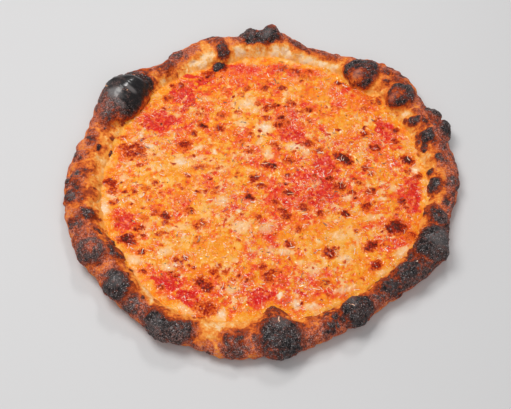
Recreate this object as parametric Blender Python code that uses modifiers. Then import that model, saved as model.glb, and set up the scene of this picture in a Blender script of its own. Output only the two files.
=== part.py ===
"""A round, hand-stretched cheese pizza, baked very hot so that its rim blisters and chars.

Three pieces are stacked as they are made: the dough with its puffed rim, a thin spread of tomato
sauce inside the rim, and the melted cheese over it, parted in places where the sauce comes through.
Lengths are written in millimetres and turned into metres by MM. The origin is the middle of the
flat underside, +Z is up, and angles are degrees anticlockwise from +X.
"""

import math

import bmesh
import bpy
from mathutils import Vector, noise

MM = 0.001

# Driving dimensions, in millimetres.
OUTER_RADIUS = 150.0  # the widest part of the rim, before its lobes
FOOT_RADIUS = 118.0  # where the flat base turns up into the rim, before its lobes
CROWN_RADIUS = 136.0  # the top of the rim
CONTACT_RADIUS = 137.0  # outside this the underside curls up off the table
RIM_HEIGHT = 16.5
BASE_THICKNESS = 4.0
SAUCE_THICKNESS = 1.2
CHEESE_THICKNESS = 1.8
GAP = 0.35  # between two pieces that lie on each other

# Steps round the pizza.
CRUST_STEPS = 220
TOPPING_STEPS = 110

# Where the outline and the foot of the rim depart from a circle: angle, reach in mm, spread in degrees.
MEAN_EDGE = 152.0
EDGE_LOBES = (
    (2, 2.5, 9),
    (20, 5.5, 4),
    (41, 6.0, 9),
    (63, -8.0, 7),
    (74, -9.0, 7),
    (88, 3.5, 5),
    (99, -2.5, 4),
    (108, 2.0, 6),
    (128, -6.0, 6),
    (144, 8.5, 9),
    (163, -1.5, 6),
    (194, 4.5, 20),
    (208, 2.0, 5),
    (226, 2.5, 8),
    (242, 4.5, 8),
    (261, 4.0, 7),
    (295, -7.0, 13),
    (312, -7.5, 11),
    (333, 1.5, 4),
    (346, -4.0, 7),
)
MEAN_FOOT = 120.0
FOOT_LOBES = (
    (44, -5.5, 11),
    (109, -5.0, 10),
    (168, -1.5, 10),
    (197, 2.0, 12),
    (238, 7.0, 16),
    (272, -11.0, 7),
    (330, 1.5, 12),
    (355, 4.0, 14),
)
# How much higher or lower the rim stands: angle, rise in mm, spread in degrees.
HEIGHT_LOBES = (
    (67, -4.0, 13),
    (88, 2.0, 7),
    (120, -3.0, 11),
    (145, 2.0, 12),
    (170, -2.0, 12),
    (207, 1.5, 14),
    (254, -2.0, 7),
    (287, -1.5, 8),
    (310, -1.5, 9),
    (350, -2.0, 8),
)
UNEVENNESS = 0.7  # the rim's small lumps
LUMP_SIZE = 11.0

# The large blisters of the rim: angle, distance over the crust from its crown (positive outwards),
# half length along the rim, half width across it, and rise. All but the angle are in mm.
BLISTERS = (
    (50, -9.0, 17, 15, 8.0),
    (33, -3.5, 12, 12, 6.5),
    (23.5, 11, 8, 8, 4.5),
    (17, 12, 9, 8, 5.0),
    (15, -3, 7, 6, 3.0),
    (355.5, -9, 7, 6, 3.0),
    (87.5, 5, 8, 8, 5.5),
    (94.5, 7, 7, 6, 3.5),
    (105, -3, 8, 12, 4.5),
    (126, 1, 9, 6, 2.0),
    (145, -6, 21, 17, 10.0),
    (154, -3.5, 12, 10, 4.0),
    (187.5, -8.5, 7, 6, 2.0),
    (196, -2, 6, 7, 2.5),
    (208, 6, 11, 10, 5.0),
    (213, -9, 9, 8, 3.5),
    (223.5, 7, 16, 11, 6.5),
    (240, 8.5, 14, 10, 5.5),
    (247, 7, 9, 9, 4.5),
    (261, 5, 7, 6, 2.5),
    (273, 9, 15, 13, 7.0),
    (274.5, -16, 8, 7, 3.0),
    (291, 9, 6, 6, 2.5),
    (298.5, 7, 14, 12, 7.5),
    (316.5, -1.5, 8, 7, 3.5),
    (323, 2, 9, 8, 5.0),
    (332.5, 4.5, 17, 13, 8.5),
    (343, 6, 7, 6, 3.5),
)
BLISTER_FALL = 0.7  # below 1 gives a full dome with a steep foot
CLEAR_OF_TOPPING = (122.5, 127.0)  # blisters start between these radii

# Bubbles that the cheese has closed over: angle, radius, half length, half width, rise.
CHEESE_BUBBLES = (
    (108, 111.5, 4.5, 4.0, 1.5),
    (165, 108, 9, 5, 1.3),
    (183.5, 114.0, 4, 6, 1.3),
    (209.5, 115.5, 4.5, 5, 1.8),
    (249.5, 118, 6.5, 4.5, 2.0),
    (336, 111, 7, 4.5, 1.6),
    (9, 113, 4.5, 4.5, 1.6),
    (19, 66.5, 4.5, 5, 1.4),
)

# Places where the cheese has parted and the sauce stands level with it: angle, radius, half length
# round the pizza, half width along the radius.
SAUCE_WINDOWS = (
    (355.5, 117, 12, 3.5),
    (26.5, 110, 7, 5),
    (116, 111, 6, 3),
    (127.5, 109.5, 8.5, 5),
    (129.5, 97, 6, 3.5),
    (147.5, 107, 8, 5),
    (143, 95, 5, 3.5),
    (200, 113, 7, 5.5),
    (232, 113, 7.5, 5),
    (243, 118, 8, 4),
    (268.5, 102, 8, 4),
    (348.5, 47.5, 10, 6),
    (17, 51, 9, 7),
    (60, 48.5, 10, 5),
)
WINDOW_SIDES = 14
WINDOW_WAVE = 0.16  # how uneven a window's outline is, as a share of its size


# ---------------------------------------------------------------- the shape of the pizza by formula


def turn(angle, at):
    """Degrees from one angle to another, by the shorter way round."""
    return (angle - at + 180.0) % 360.0 - 180.0


def lobed(mean, lobes, angle):
    """A size that swells and narrows smoothly round the pizza."""
    return mean + sum(reach * math.exp(-((turn(angle, at) / spread) ** 2)) for at, reach, spread in lobes)


def smooth(value, low, high):
    """0 below low, 1 above high, and a smooth ramp between them."""
    share = min(1.0, max(0.0, (value - low) / (high - low)))
    return share * share * (3.0 - 2.0 * share)


def real_radius(radius, angle):
    """Carries a radius of the plain round pizza to the uneven one."""
    foot = lobed(MEAN_FOOT, FOOT_LOBES, angle)
    edge = lobed(MEAN_EDGE, EDGE_LOBES, angle)
    if radius <= FOOT_RADIUS:
        return radius / FOOT_RADIUS * foot
    return foot + (radius - FOOT_RADIUS) / (OUTER_RADIUS - FOOT_RADIUS) * (edge - foot)


def slope_height(radius):
    """Height of the plain rim's inner slope, which rises from the base to the crown."""
    share = (radius - FOOT_RADIUS) / (CROWN_RADIUS - FOOT_RADIUS)
    share = min(1.0, max(0.0, share))
    return BASE_THICKNESS + (RIM_HEIGHT - BASE_THICKNESS) * math.sin(share * math.pi / 2) ** 1.5


def real_height(radius, height, angle):
    """Raises or lowers the rim; the base and the underside keep their level."""
    ratio = lobed(RIM_HEIGHT, HEIGHT_LOBES, angle) / RIM_HEIGHT
    return height * (1.0 + (ratio - 1.0) * smooth(radius, FOOT_RADIUS, CROWN_RADIUS - 4.0))


def dough_section():
    """The section of base and rim as (radius, height), from the axis over the crown to the axis below."""
    half_height = RIM_HEIGHT / 2
    base = [(radius, BASE_THICKNESS) for radius in (0.0, 45.0, 85.0, 112.0)]
    slope = [(radius, slope_height(radius)) for radius in (118.0, 120.0, 122.5, 125.5, 129.0, 132.5)]
    outer_top = [math.radians(degrees) for degrees in (0, 18, 36, 54, 72, 90)]
    outer_low = [math.radians(degrees) for degrees in (20, 42, 66, 90)]
    bulge = OUTER_RADIUS - CROWN_RADIUS
    curl = OUTER_RADIUS - CONTACT_RADIUS
    over = [(CROWN_RADIUS + bulge * math.sin(a), half_height + half_height * math.cos(a)) for a in outer_top]
    under = [(CONTACT_RADIUS + curl * math.cos(a), half_height - half_height * math.sin(a)) for a in outer_low]
    return base + slope + over + under + [(70.0, 0.0), (0.0, 0.0)]


def over_the_crust(section):
    """For each point of a section, how far over the crust it lies from the crown, positive outwards."""
    crown = max(range(len(section)), key=lambda i: section[i][1])
    run = [0.0]
    for (r0, z0), (r1, z1) in zip(section, section[1:]):
        run.append(run[-1] + math.hypot(r1 - r0, z1 - z0))
    return [distance - run[crown] for distance in run]


def outward(section, index):
    """The direction that points out of the dough at a point of its section, as (radial, up)."""
    before = section[max(index - 1, 0)]
    after = section[min(index + 1, len(section) - 1)]
    run, fall = after[0] - before[0], before[1] - after[1]
    length = math.hypot(run, fall)
    return fall / length, run / length


def swelling(angle, over, radius):
    """How far the blisters lift the crust at a place; where two meet, the higher one leads."""
    total = 0.0
    for at, across, half_length, half_width, rise in BLISTERS:
        along = math.radians(turn(angle, at)) * radius
        reach = (along / half_length) ** 2 + ((over - across) / half_width) ** 2
        if reach < 1.0:
            total += (rise * (1.0 - reach) ** BLISTER_FALL) ** 4
    return total**0.25


def cheese_level(x, y):
    """Height of the cheese's top at a place in plan, gently uneven."""
    floor = BASE_THICKNESS + GAP + SAUCE_THICKNESS + GAP
    broad = noise.noise(Vector((x / 24.0, y / 24.0, 3.7)))
    fine = noise.noise(Vector((x / 9.0, y / 9.0, 8.1)))
    return floor + CHEESE_THICKNESS + 0.5 * broad + 0.35 * fine


# ------------------------------------------------------------------------------- modelling helpers


def clear_scene():
    for old in list(bpy.data.objects):
        bpy.data.objects.remove(old, do_unlink=True)


def finish_of(name, colour, roughness):
    """A plain Principled material."""
    material = bpy.data.materials.new(name)
    material.use_nodes = True
    shader = material.node_tree.nodes["Principled BSDF"]
    shader.inputs["Base Color"].default_value = (*colour, 1.0)
    shader.inputs["Roughness"].default_value = roughness
    shader.inputs["Metallic"].default_value = 0.0
    return material


def turned(name, section, steps):
    """Turns a section of (radius, height) points in mm about the axis into a closed mesh."""
    points = [(radius * MM, 0.0, height * MM) for radius, height in section]
    outline = bpy.data.meshes.new(name + "_section")
    outline.from_pydata(points, [(i, i + 1) for i in range(len(points) - 1)], [])
    guide = bpy.data.objects.new(name + "_section", outline)
    bpy.context.scene.collection.objects.link(guide)
    screw = guide.modifiers.new("Turn", "SCREW")
    screw.steps = screw.render_steps = steps
    screw.use_merge_vertices = True
    screw.merge_threshold = 0.00001
    bpy.context.view_layer.update()
    graph = bpy.context.evaluated_depsgraph_get()
    mesh = bpy.data.meshes.new_from_object(guide.evaluated_get(graph))
    mesh.name = name
    bpy.data.objects.remove(guide, do_unlink=True)
    bpy.data.meshes.remove(outline)
    return mesh


def placed(name, mesh, material, collection):
    """Makes a named object of a mesh, shaded smooth, with its one material."""
    mesh.materials.clear()
    mesh.materials.append(material)
    mesh.shade_smooth()
    piece = bpy.data.objects.new(name, mesh)
    collection.objects.link(piece)
    return piece


def polar(vertex):
    """A vertex's radius in mm, angle in degrees and height in mm."""
    x, y, z = vertex.co
    return math.hypot(x, y) / MM, math.degrees(math.atan2(y, x)), z / MM


def put(vertex, radius, angle, height):
    """Moves a vertex to a radius and height in mm at an angle in degrees."""
    a = math.radians(angle)
    vertex.co = Vector((radius * math.cos(a), radius * math.sin(a), height)) * MM


def joined(piece, helpers, operation):
    """Applies one Boolean of a piece with a collection of helpers, then removes the helpers."""
    modifier = piece.modifiers.new(operation.title(), "BOOLEAN")
    modifier.operation = operation
    modifier.operand_type = "COLLECTION"
    modifier.collection = helpers
    modifier.solver = "EXACT"
    bpy.context.view_layer.update()
    graph = bpy.context.evaluated_depsgraph_get()
    mesh = bpy.data.meshes.new_from_object(piece.evaluated_get(graph))
    piece.modifiers.clear()
    piece.data = mesh
    for helper in list(helpers.objects):
        bpy.data.objects.remove(helper, do_unlink=True)
    bpy.data.collections.remove(helpers)


def helpers_collection(name):
    helpers = bpy.data.collections.new(name)
    bpy.context.scene.collection.children.link(helpers)
    return helpers


def helper(name, shape, collection):
    """Turns a bmesh into a helper object, which is never a piece of the pizza itself."""
    mesh = bpy.data.meshes.new(name)
    shape.to_mesh(mesh)
    shape.free()
    item = bpy.data.objects.new(name, mesh)
    item.hide_render = True
    item.display_type = "WIRE"
    collection.objects.link(item)


# --------------------------------------------------------------------------------------- the dough


def make_crust(material, collection):
    """The base and its rim, one piece of dough, with lobes and blisters."""
    section = dough_section()
    over = over_the_crust(section)
    mesh = turned("crust", section, CRUST_STEPS)
    for vertex in mesh.vertices:
        radius, angle, height = polar(vertex)
        index = min(
            range(len(section)),
            key=lambda i: math.hypot(section[i][0] - radius, section[i][1] - height),
        )
        out, up = outward(section, index)
        wide = real_radius(radius, angle)
        high = real_height(radius, height, angle)
        a = math.radians(angle)
        at = Vector((wide * math.cos(a), wide * math.sin(a), high)) / LUMP_SIZE
        lift = swelling(angle, over[index], wide) + UNEVENNESS * noise.noise(at)
        lift *= smooth(radius, *CLEAR_OF_TOPPING) * smooth(high, 0.0, 5.0)
        put(vertex, wide + lift * out, angle, high + lift * up)
    return placed("crust", mesh, material, collection)


# --------------------------------------------------------------------------------------- the sauce


def window_shape(index, grow, low, high):
    """An upright prism with a wavy oval outline, where the cheese has parted."""
    at, radius, half_length, half_width = SAUCE_WINDOWS[index]
    shape = bmesh.new()
    bmesh.ops.create_cone(
        shape, segments=WINDOW_SIDES, cap_ends=True, radius1=1.0, radius2=1.0, depth=1.0
    )
    turned_by = math.radians(at)
    for vertex in shape.verts:
        a = math.atan2(vertex.co.y, vertex.co.x)
        wave = 1.0 + WINDOW_WAVE * math.sin(3.0 * a + 2.1 * index)
        inward = (half_width * wave + grow) * math.cos(a)
        round_it = (half_length * wave + grow) * math.sin(a)
        x = (radius + inward) * math.cos(turned_by) - round_it * math.sin(turned_by)
        y = (radius + inward) * math.sin(turned_by) + round_it * math.cos(turned_by)
        vertex.co = Vector((x, y, high if vertex.co.z > 0 else low)) * MM
    return shape


def make_sauce(material, collection):
    """A thin spread of sauce on the base, with the patches that stand up through the cheese."""
    low = BASE_THICKNESS + GAP
    high = low + SAUCE_THICKNESS
    edge = FOOT_RADIUS - 1.0
    section = [(0.0, high), (60.0, high), (edge - 4.0, high), (edge - 1.0, high - 0.2)]
    section += [(edge, high - 0.7), (edge - 0.8, low), (60.0, low), (0.0, low)]
    mesh = turned("tomato_sauce", section, TOPPING_STEPS)
    for vertex in mesh.vertices:
        radius, angle, height = polar(vertex)
        put(vertex, real_radius(radius, angle), angle, height)
    piece = placed("tomato_sauce", mesh, material, collection)
    patches = helpers_collection("sauce_patches")
    for index, (at, radius, _, _) in enumerate(SAUCE_WINDOWS):
        a = math.radians(at)
        level = cheese_level(radius * math.cos(a), radius * math.sin(a))
        shape = window_shape(index, 0.0, low + SAUCE_THICKNESS / 2, level - 0.3)
        helper(f"sauce_patch_{index:02d}", shape, patches)
    joined(piece, patches, "UNION")
    return piece


# -------------------------------------------------------------------------------------- the cheese


def cheese_bubble(at, radius, half_length, half_width, rise):
    """A low dome of cheese, as the part of a flattened ball that shows above the sheet."""
    shape = bmesh.new()
    bmesh.ops.create_uvsphere(shape, u_segments=12, v_segments=7, radius=1.0)
    a = math.radians(at)
    centre_x, centre_y = radius * math.cos(a), radius * math.sin(a)
    level = cheese_level(centre_x, centre_y) - 0.5
    for vertex in shape.verts:
        out, along = vertex.co.x * half_width, vertex.co.y * half_length
        x = centre_x + out * math.cos(a) - along * math.sin(a)
        y = centre_y + out * math.sin(a) + along * math.cos(a)
        z = level + vertex.co.z * ((rise + 0.5) if vertex.co.z > 0 else 0.8)
        vertex.co = Vector((x, y, z)) * MM
    return shape


def make_cheese(material, collection):
    """The melted cheese: a thin uneven sheet whose edge climbs a little way up the rim."""
    under = BASE_THICKNESS + SAUCE_THICKNESS + 2 * GAP
    edge = FOOT_RADIUS + 3.0
    top = [0.0, 20.0, 40.0, 58.0, 74.0, 88.0, 100.0, 110.0, 118.0]
    section = [(radius, under + CHEESE_THICKNESS) for radius in top]
    section += [(edge - 0.6, under + 1.4), (edge, under + 0.9)]
    section += [(edge - 0.6, under + 0.1), (FOOT_RADIUS, under), (60.0, under), (0.0, under)]
    mesh = turned("melted_cheese", section, TOPPING_STEPS)
    for vertex in mesh.vertices:
        radius, angle, height = polar(vertex)
        wide = real_radius(radius, angle)
        a = math.radians(angle)
        fade = 1.0 - smooth(radius, FOOT_RADIUS - 4.0, edge)
        if height > under + 0.5:
            level = cheese_level(wide * math.cos(a), wide * math.sin(a))
            height += (level - under - CHEESE_THICKNESS) * fade
        climb = real_height(radius, slope_height(radius), angle) - BASE_THICKNESS
        clear_of_slope = BASE_THICKNESS + climb + 2 * GAP - under
        height += max(0.0, clear_of_slope)
        put(vertex, wide, angle, height)
    piece = placed("melted_cheese", mesh, material, collection)
    bubbles = helpers_collection("cheese_bubbles")
    for index, sizes in enumerate(CHEESE_BUBBLES):
        helper(f"cheese_bubble_{index:02d}", cheese_bubble(*sizes), bubbles)
    joined(piece, bubbles, "UNION")
    cutters = helpers_collection("cheese_cutters")
    for index in range(len(SAUCE_WINDOWS)):
        shape = window_shape(index, GAP, under - 1.0, under + 6.0)
        helper(f"cheese_cutter_{index:02d}", shape, cutters)
    joined(piece, cutters, "DIFFERENCE")
    return piece


def main():
    clear_scene()
    pizza = bpy.data.collections.new("cheese_pizza")
    bpy.context.scene.collection.children.link(pizza)
    baked = finish_of("baked_dough", (0.46, 0.17, 0.06), 0.75)
    red = finish_of("tomato_sauce", (0.62, 0.05, 0.02), 0.3)
    yellow = finish_of("melted_cheese", (0.85, 0.36, 0.07), 0.4)
    make_crust(baked, pizza)
    make_sauce(red, pizza)
    make_cheese(yellow, pizza)


main()
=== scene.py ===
import math

import bpy
import numpy as np
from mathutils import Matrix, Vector, noise


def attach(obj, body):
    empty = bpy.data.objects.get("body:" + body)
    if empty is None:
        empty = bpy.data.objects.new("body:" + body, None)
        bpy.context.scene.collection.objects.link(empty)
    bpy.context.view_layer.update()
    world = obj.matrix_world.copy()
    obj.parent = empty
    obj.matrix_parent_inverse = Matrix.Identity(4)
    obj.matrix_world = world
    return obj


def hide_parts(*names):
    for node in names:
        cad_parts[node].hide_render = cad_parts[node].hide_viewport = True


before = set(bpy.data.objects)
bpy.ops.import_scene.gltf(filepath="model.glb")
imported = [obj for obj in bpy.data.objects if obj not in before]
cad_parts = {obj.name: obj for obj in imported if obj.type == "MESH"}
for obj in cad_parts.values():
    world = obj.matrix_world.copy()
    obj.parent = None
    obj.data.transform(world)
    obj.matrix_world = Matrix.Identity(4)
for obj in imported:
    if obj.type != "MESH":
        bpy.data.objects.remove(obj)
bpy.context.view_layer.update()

# ------------------------------------------------------------------------------- table and camera
# The pizza lies on a plain pale table top. A large window high at the left lights it softly, a small
# lamp behind picks out what is wet, and a broad weak lamp fills in from the near right. The camera
# looks down on it from the near side, through a fairly long lens.

VIEW_TARGET = Vector((-0.006, -0.0185, 0.0))
VIEW_DISTANCE = 0.83375
VIEW_ELEVATION = math.radians(56.96)
LENS = 75.0
SENSOR_WIDTH = 36.0
NEAREST_SEEN = 0.01
# Lamps, all aimed at the middle of the pizza: name, place and side in metres, power, colour.
LAMPS = (
    ("window", (-0.5, 0.3, 1.25), 0.7, 11.8, (1.0, 0.99, 0.97)),
    ("back", (0.2, 1.0, 1.1), 0.25, 4.6, (1.0, 0.99, 0.98)),
    ("front", (0.25, -0.85, 1.1), 1.3, 6.2, (1.0, 0.99, 0.98)),
)
SKY_STRENGTH = 0.25
TABLE_REACH = 4.0
TABLE_LEVEL = -0.0003
TABLE_GREY = (0.60, 0.60, 0.61, 1.0)
TABLE_ROUGHNESS = 0.6


def put_in_scene(name, data):
    """Makes an object of this data and puts it among what is rendered."""
    thing = bpy.data.objects.new(name, data)
    bpy.context.scene.collection.objects.link(thing)
    return thing


camera = put_in_scene("camera", bpy.data.cameras.new("camera"))
camera.data.lens = LENS
camera.data.sensor_width = SENSOR_WIDTH
camera.data.sensor_fit = "HORIZONTAL"
camera.data.clip_start = NEAREST_SEEN
camera.location = VIEW_TARGET + VIEW_DISTANCE * Vector(
    (0.0, -math.cos(VIEW_ELEVATION), math.sin(VIEW_ELEVATION))
)
camera.rotation_euler = (VIEW_TARGET - camera.location).to_track_quat("-Z", "Y").to_euler()
bpy.context.scene.camera = camera
bpy.context.scene.view_settings.view_transform = "Standard"

for name, place, side, power, tint in LAMPS:
    light = bpy.data.lights.new(name, "AREA")
    light.shape = "SQUARE"
    light.size = side
    light.energy = power
    light.color = tint
    lamp = put_in_scene(name, light)
    lamp.location = place
    lamp.rotation_euler = (-Vector(place)).to_track_quat("-Z", "Y").to_euler()

sky = bpy.data.worlds.new("sky")
sky.use_nodes = True
sky.node_tree.nodes["Background"].inputs["Color"].default_value = (1.0, 1.0, 1.0, 1.0)
sky.node_tree.nodes["Background"].inputs["Strength"].default_value = SKY_STRENGTH
bpy.context.scene.world = sky

table = bpy.data.meshes.new("table")
sides = (-TABLE_REACH, TABLE_REACH)
table.from_pydata([(x, y, TABLE_LEVEL) for y in sides for x in sides], [], [(0, 1, 3, 2)])
pale_table = bpy.data.materials.new("pale_table")
pale_table.use_nodes = True
pale_table.node_tree.nodes["Principled BSDF"].inputs["Base Color"].default_value = TABLE_GREY
pale_table.node_tree.nodes["Principled BSDF"].inputs["Roughness"].default_value = TABLE_ROUGHNESS
table.materials.append(pale_table)
table_top = put_in_scene("table_top", table)

# ------------------------------------------------------------------------------------------- crust
# A hand-stretched round of wheat dough: a thin flat base and a puffed rim whose gas bubbles swell
# into domes. The oven's fire leaves the inner slope pale, toasts the rim orange-brown, and chars
# the domes black where their skin is thinnest.

MM = 0.001

# Section of a plain round pizza, in mm.
OUTER_RADIUS = 150.0
FOOT_RADIUS = 118.0
CROWN_RADIUS = 136.0
CONTACT_RADIUS = 137.0
RIM_HEIGHT = 16.5
BASE_THICKNESS = 4.0
CRUST_STEPS = 1200

# Outline, foot and height of the rim: angle, reach in mm, spread in degrees.
MEAN_EDGE = 152.0
EDGE_LOBES = (
    (2, 2.5, 9), (20, 5.5, 4), (41, 6.0, 9), (63, -8.0, 7), (74, -9.0, 7), (88, 3.5, 5),
    (99, -2.5, 4), (108, 2.0, 6), (128, -6.0, 6), (144, 8.5, 9), (163, -1.5, 6), (194, 4.5, 20),
    (208, 2.0, 5), (226, 2.5, 8), (242, 4.5, 8), (261, 4.0, 7), (295, -7.0, 13), (312, -7.5, 11),
    (333, 1.5, 4), (346, -4.0, 7),
)
MEAN_FOOT = 120.0
FOOT_LOBES = (
    (44, -5.5, 11), (109, -5.0, 10), (168, -1.5, 10), (197, 2.0, 12), (238, 7.0, 16),
    (272, -11.0, 7), (330, 1.5, 12), (355, 4.0, 14),
)
HEIGHT_LOBES = (
    (67, -4.0, 13), (88, 2.0, 7), (120, -3.0, 11), (145, 2.0, 12), (170, -2.0, 12), (207, 1.5, 14),
    (254, -2.0, 7), (287, -1.5, 8), (310, -1.5, 9), (350, -2.0, 8),
)
# Where the rim is toasted more (positive) or less than elsewhere: angle, distance over the crust
# from its crown, half length and half width in mm, and change.
TOAST_PATCHES = (
    (4, 8, 28, 14, 0.14), (18, 8, 22, 12, 0.14), (36, 8, 20, 12, 0.10), (50, 8, 24, 10, 0.12),
    (66, 6, 18, 7, 0.24), (78, 5, 14, 7, 0.28), (90, 7, 20, 7, 0.26), (86, -10, 34, 8, -0.12),
    (145, 4, 32, 20, 0.22), (120, 6, 20, 9, 0.16), (127, 6, 12, 10, 0.16), (172, 2, 34, 12, 0.06),
    (195, 2, 36, 14, 0.10), (212, 2, 30, 16, 0.14), (230, 10, 22, 9, 0.20), (242, 9, 24, 11, 0.22),
    (262, 4, 10, 12, 0.16), (275, 4, 24, 18, 0.20), (289, 0, 16, 13, 0.16), (300, 6, 20, 15, 0.20),
    (317, 4, 34, 14, 0.26), (334, 2, 26, 18, 0.20), (346, 4, 12, 12, 0.12), (354, 8, 16, 9, 0.16),
    (184, 4, 14, 12, 0.12), (317, -2, 26, 12, 0.14), (62, -14, 26, 8, -0.16),
    (80, -12, 26, 7, -0.18), (97, -10, 14, 8, -0.16), (172, -14, 26, 6, -0.10),
    (196, -15, 30, 6, -0.12), (28, -14, 12, 7, -0.12), (6, -11, 16, 5, -0.18),
    (26, -7, 6, 7, -0.18), (44.5, -4, 3.5, 14, -0.24), (255, -3, 9, 13, -0.10),
    (265, -13, 8, 6, -0.10), (232, -14, 12, 8, -0.12), (228, 14, 6, 6, -0.14),
    (158, 8, 5, 8, -0.16), (113, -10, 12, 8, -0.12), (287, -14, 16, 6, 0.20),
    (310, -14, 18, 6, 0.16), (330, -14, 14, 6, 0.14), (351, -12, 14, 6, 0.24),
    (270, -15, 10, 6, 0.16), (251, -14, 10, 6, 0.14), (206, -14, 20, 5, 0.14),
    (242, -13, 10, 5, 0.10), (226, 9, 8, 8, -0.12), (253, 10, 10, 8, -0.12), (167, 9, 12, 8, -0.12),
    (78, -6, 5, 6, 0.20), (66, -7, 4, 5, 0.14), (94, -13, 4, 5, 0.10), (71, -4, 3, 5, 0.12),
)
# Blisters of the rim: angle, distance over the crust from its crown in mm (positive outwards), half
# length along the rim, half width across it, rise, and how far it is charred (0 to 1).
RIM_BLISTERS = (
    (51.5, -5.5, 16, 13.5, 8.0, 0.96), (34.5, -1.5, 12, 12, 6.5, 0.98), (23.5, -6, 5, 7, 2.0, 0.85),
    (23.5, 11, 8, 8, 4.5, 1.0), (17, 12, 9, 8, 5.0, 1.0), (15.5, -4, 7.5, 7, 3.0, 0.95),
    (12, -9, 5, 4, 1.0, 0.8), (40, -17, 6.5, 6, 1.2, 0.62), (356, -9, 9, 8, 3.0, 0.92),
    (87.3, 6, 8, 9, 5.5, 0.88), (94.5, 7, 8, 7, 3.5, 0.95), (105, -3, 6, 12, 4.5, 0.64),
    (107.6, -17.5, 6.5, 5.5, 4.0, 1.0), (107, 11.5, 3, 2.5, 1.5, 1.0), (126, 1, 9, 6, 2.0, 0.70),
    (145, -6, 22, 17, 10.0, 1.0), (154, -0.5, 13, 9.5, 5.0, 0.80), (169, -15.6, 4, 3, 0.8, 0.8),
    (172, 11.6, 4, 5, 1.5, 0.85), (181.5, 12, 4, 4, 1.5, 0.8), (187.5, 8, 6, 6, 1.8, 0.86),
    (187.5, -8.5, 7, 6, 2.0, 0.62), (196, -2, 6, 7, 2.5, 0.84), (208.4, 4.5, 13, 11.5, 5.0, 0.88),
    (212.5, -9, 9, 8, 3.5, 0.84), (223, 5, 15, 11, 6.5, 1.0), (230, 10.5, 4, 5, 1.8, 1.0),
    (240.5, 8, 16, 11, 5.5, 1.0), (246.5, 6.5, 11, 10, 5.0, 0.95), (261, 4.5, 8, 7, 2.5, 0.72),
    (275, 7, 18, 15, 7.0, 1.0), (274.5, -15.5, 9, 8, 3.0, 0.70), (290, 8, 6, 8, 2.5, 0.84),
    (299.3, 4.5, 14.5, 14.5, 7.5, 1.0), (313, 2, 9, 9, 3.0, 0.92), (320.5, 3, 12, 11, 5.0, 0.97),
    (333, 3, 18, 14, 8.5, 1.0), (343.5, 3, 8, 9, 3.5, 0.94),
)
# Scorch marks that lie flat on the rim, as above but without the rise.
SCORCH_MARKS = (
    (105, 6, 6, 3, 0.8), (105, -6.5, 5.5, 7.5, 0.80), (41, 5, 6, 5, 0.6), (43, 12, 6, 4, 0.5),
    (66, 3, 8, 4, 0.5), (72, 8, 7, 4, 0.55), (77, 4, 9, 5, 0.66), (90.5, 1, 17, 9, 0.92),
    (136.5, -5, 7, 12, 1.0), (274, -19, 3, 2.5, 0.95), (294, 6, 3, 3, 0.9), (317, 2, 18, 10, 0.82),
    (99, 8, 6, 5, 0.6), (115, 6, 8, 5, 0.55), (120.5, 6, 7, 6, 0.80), (126, -7, 4, 4, 0.5),
    (142, 10, 24, 9, 0.9), (157, 3, 7, 12, 0.62), (150.5, 9, 11, 7, 0.85), (167, 3, 6, 6, 0.66),
    (168, -5, 4, 3, 0.6), (176, -6, 5, 4, 0.5), (177, 4, 5, 4, 0.5), (190, 1, 4, 4, 0.6),
    (201, 6, 6, 8, 0.6), (202, -6, 5, 5, 0.6), (218, 0, 6, 8, 0.5), (235, -12, 5, 4, 0.5),
    (254, 8, 5, 4, 0.45), (262.5, 13, 8, 4, 0.8), (265, -4, 5, 8, 0.45), (283, 10, 6, 5, 0.6),
    (286, -9, 7, 5, 0.45), (292, -8, 5, 5, 0.40), (306, 10, 8, 6, 0.6), (307, -5, 6, 5, 0.5),
    (310, -10, 6, 4, 0.6), (316, 12, 16, 5, 0.9), (326, 12, 16, 5, 1.0), (339, 13, 12, 5, 0.9),
    (349, 13, 7, 4, 0.7), (346, -4, 5, 6, 0.84), (353, 8, 4, 4, 0.6), (0, 10, 4, 3, 0.6),
    (4, 4, 3, 3, 0.5), (6, 12, 5, 4, 0.7), (10, 6, 6, 5, 0.7), (28, 12, 8, 5, 0.6),
)
# Where a charred blister stayed browner, as above with the share of char that is missing.
BROWNER_SPOTS = (
    (52, -8, 9, 7, 0.42), (50, -5, 7, 6, 0.22), (35.5, -4, 6, 6, 0.40), (141, -17, 15, 5, 0.50),
    (33, -1, 5, 5, 0.25), (87, 10, 6, 5, 0.3), (208.6, 4, 5, 4.5, 0.5), (212.5, -11, 6, 4, 0.35),
    (220, 9, 5, 5, 0.25), (228, 2, 5, 8, 0.3), (275, -9, 14, 6, 0.35), (272, 14, 8, 7, 0.25),
    (281, 6, 5, 12, 0.25), (299, -11, 10, 5, 0.35), (319, -5, 12, 4, 0.3), (333, -11, 12, 4, 0.3),
    (326.5, 8, 4, 8, 0.35), (154, 8, 10, 6, 0.25), (316, 0, 3, 8, 0.3), (322, 8, 6, 3, 0.3),
    (188, -10, 5, 4, 0.3), (242, -2, 14, 4, 0.25),
)
# Where flour and ash lie on the rim, as a pinkish dust: as above, with strength.
DUSTY_SPOTS = (
    (153, 1, 14, 13, 1.0), (3, 9, 26, 9, 0.8), (28, 10, 16, 8, 0.6), (65, 7, 18, 6, 0.8),
    (79, 8, 14, 5, 0.8), (99, 9, 10, 6, 0.7), (117, 5, 16, 8, 0.8), (170, 12, 16, 6, 0.7),
    (205, 2, 14, 12, 1.0), (217, 3, 8, 10, 0.9), (231, 6, 8, 10, 0.9), (246, 12, 20, 6, 0.8),
    (264, 8, 8, 9, 0.7), (286, 4, 10, 10, 0.8), (310, 10, 14, 7, 0.5), (323, 12, 20, 6, 0.6),
    (345, 10, 18, 7, 0.9),
)
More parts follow.
